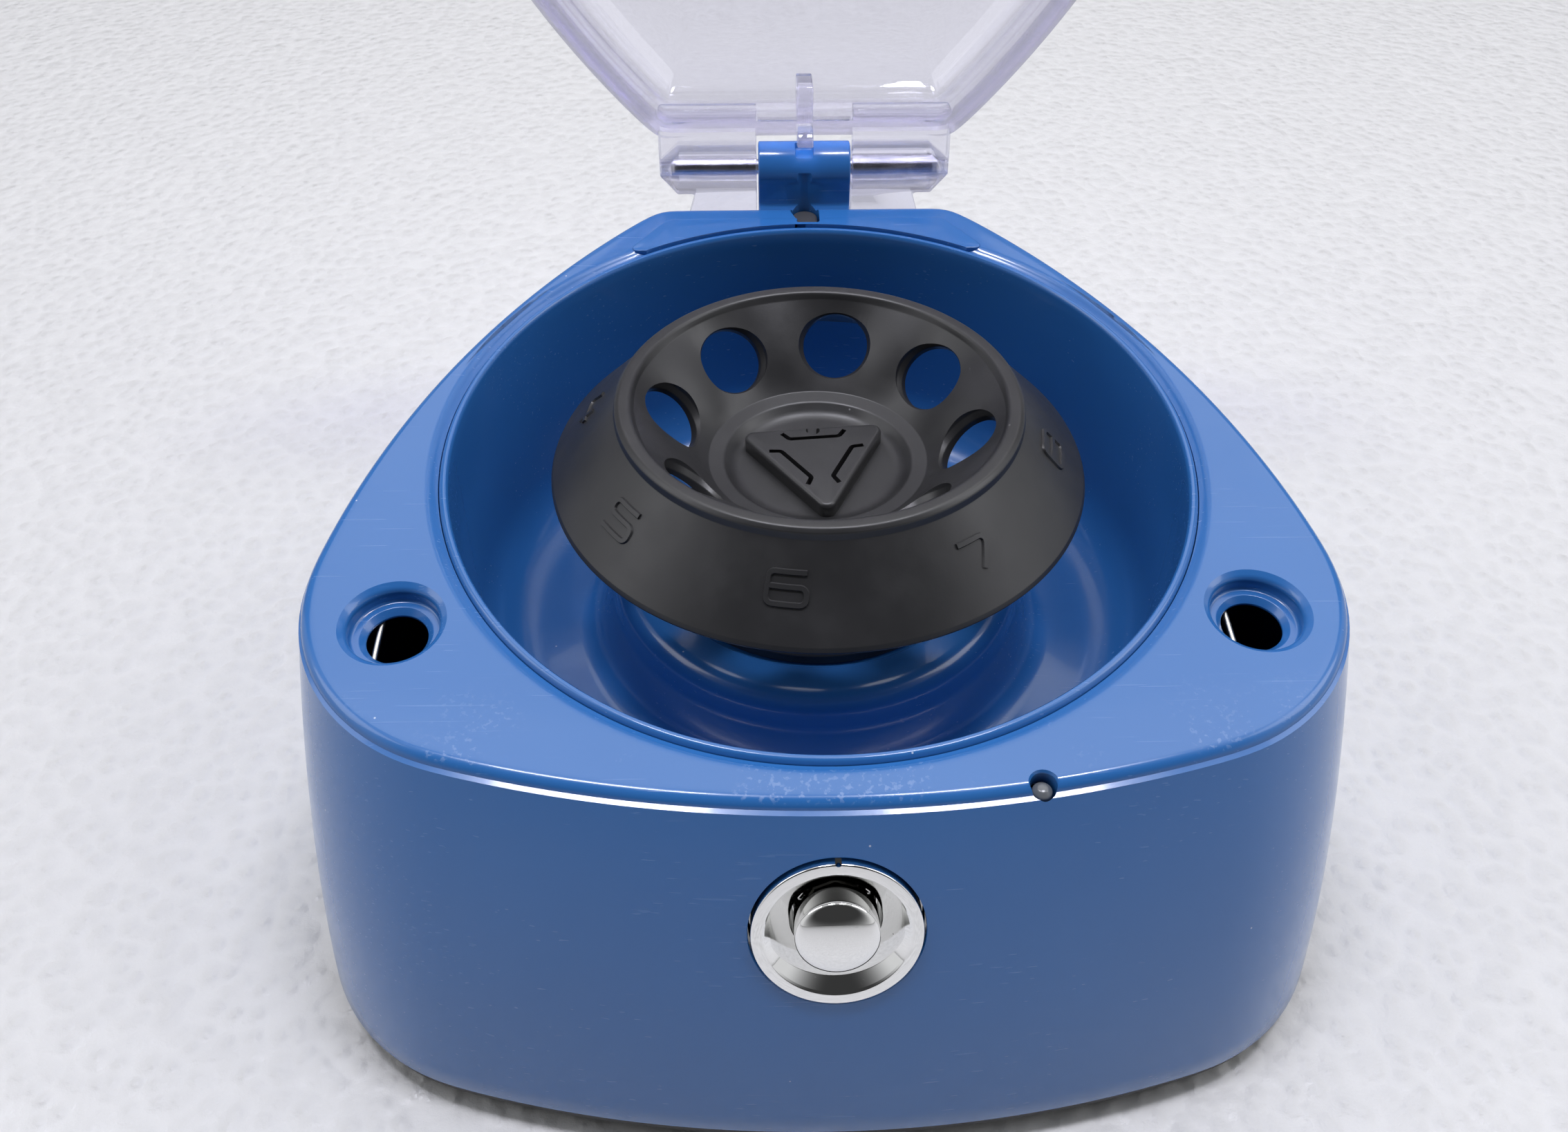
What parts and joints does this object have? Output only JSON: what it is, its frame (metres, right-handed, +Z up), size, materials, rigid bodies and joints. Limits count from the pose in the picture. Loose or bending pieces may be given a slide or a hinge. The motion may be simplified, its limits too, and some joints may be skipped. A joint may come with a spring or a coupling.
{
  "type": "mini centrifuge",
  "caption": "Compact bench centrifuge: rounded triangular blue housing, clear lid tilted open on a rear hinge, black angled-hole rotor in a round chamber, chrome release button in front.",
  "frame": {"origin": "on the rotor axis at the flat middle panel of the underside", "axes": "+Z up along the rotor axis, +X to the right seen from the front, +Y towards the lid hinge at the rear"},
  "size_m": [0.162, 0.1895, 0.2168],
  "materials": {
    "housing_blue": "satin gloss moulding with fine scratches",
    "bowl_blue": "satin gloss",
    "base_black": "matte",
    "foot_rubber": "matte",
    "screw_steel": "bright zinc",
    "motor_steel": "bright",
    "motor_cap_black": "matte",
    "magnet_grey": "sintered",
    "bushing_bronze": "sintered bronze",
    "armature_copper": "wound copper on steel",
    "shaft_steel": "ground",
    "bracket_steel": "plated sheet",
    "grommet_rubber": "matte",
    "cover_black": "matte",
    "hub_black": "matte",
    "rotor_black": "fine-grained",
    "lid_clear": "clear polycarbonate with a faint lavender tint",
    "peg_plastic": "smooth",
    "pin_steel": "ground",
    "bezel_chrome": "polished",
    "cap_chrome": "polished",
    "stem_black": "matte",
    "spring_steel": "drawn wire",
    "slider_black": "matte",
    "plunger_dark": "satin",
    "switch_black": "satin",
    "led_grey": "diffused lens",
    "board_green": "solder mask",
    "capacitor_blue": "sleeved",
    "connector_white": "natural nylon",
    "lead_red": "insulated lead",
    "lead_black": "insulated lead"
  },
  "bodies": {
    "housing": {"upper_housing": "housing_blue", "rotor_bowl": "bowl_blue", "base_plate": "base_black", "foot_1": "foot_rubber", "foot_2": "foot_rubber", "foot_3": "foot_rubber", "foot_4": "foot_rubber", "base_screw_1": "screw_steel", "base_screw_2": "screw_steel", "base_screw_3": "screw_steel", "base_screw_4": "screw_steel", "motor_can": "motor_steel", "motor_end_cap": "motor_cap_black", "motor_magnet": "magnet_grey", "upper_bushing": "bushing_bronze", "lower_bushing": "bushing_bronze", "motor_bracket": "bracket_steel", "motor_grommet_1": "grommet_rubber", "bracket_screw_1": "screw_steel", "motor_grommet_2": "grommet_rubber", "bracket_screw_2": "screw_steel", "motor_grommet_3": "grommet_rubber", "bracket_screw_3": "screw_steel", "motor_cover": "cover_black", "hinge_pin": "pin_steel", "button_bezel": "bezel_chrome", "button_spring": "spring_steel", "latch_spring": "spring_steel", "latch_guide": "switch_black", "interlock_switch": "switch_black", "status_led": "led_grey", "circuit_board": "board_green", "board_screw_1": "screw_steel", "board_screw_2": "screw_steel", "board_capacitor": "capacitor_blue", "board_connector": "connector_white", "motor_lead_red": "lead_red", "motor_lead_black": "lead_black", "power_jack": "switch_black", "switch_frame": "switch_black"},
    "rotor": {"rotor": "rotor_black", "drive_hub": "hub_black", "motor_shaft": "shaft_steel", "motor_armature": "armature_copper"},
    "lid": {"lid_shell": "lid_clear", "lid_peg_left": "peg_plastic", "lid_peg_right": "peg_plastic"},
    "button": {"button_cap": "cap_chrome", "button_stem": "stem_black"},
    "latch": {"latch_slider": "slider_black", "latch_wire": "spring_steel"},
    "interlock": {"interlock_plunger": "plunger_dark"},
    "rocker": {"switch_rocker": "switch_black"}
  },
  "joints": [
    {"name": "rotor_spin", "type": "hinge", "parent": "housing", "child": "rotor", "pos_m": [0, 0, 0.062], "axis": [0, 0, 1], "continuous": true},
    {"name": "lid_hinge", "type": "hinge", "parent": "housing", "child": "lid", "pos_m": [0, 0.072, 0.077], "axis": [1, 0, 0], "range_deg": [0, 102]},
    {"name": "button_press", "type": "slide", "parent": "housing", "child": "button", "axis": [0, 0.9478, -0.319], "range_m": [0, 0.0022], "stiffness_N_per_m": 450, "springref_m": -0.003, "deforming": ["button_spring"]},
    {"name": "latch_slide", "type": "slide", "parent": "housing", "child": "latch", "axis": [-1, 0, 0], "range_m": [0, 0.0022], "deforming": ["latch_spring"]},
    {"name": "interlock_press", "type": "slide", "parent": "housing", "child": "interlock", "axis": [0, 0, -1], "range_m": [0, 0.004]},
    {"name": "rocker_tilt", "type": "hinge", "parent": "housing", "child": "rocker", "pos_m": [0.013, 0.06779, 0.02], "axis": [1, 0, 0], "range_deg": [0, 16]}
  ],
  "couplings": [
    {"joint": "latch_slide", "follows": "button_press", "ratio": 1},
    {"joint": "interlock_press", "follows": "lid_hinge", "m_per_rad": 0.00224}
  ]
}
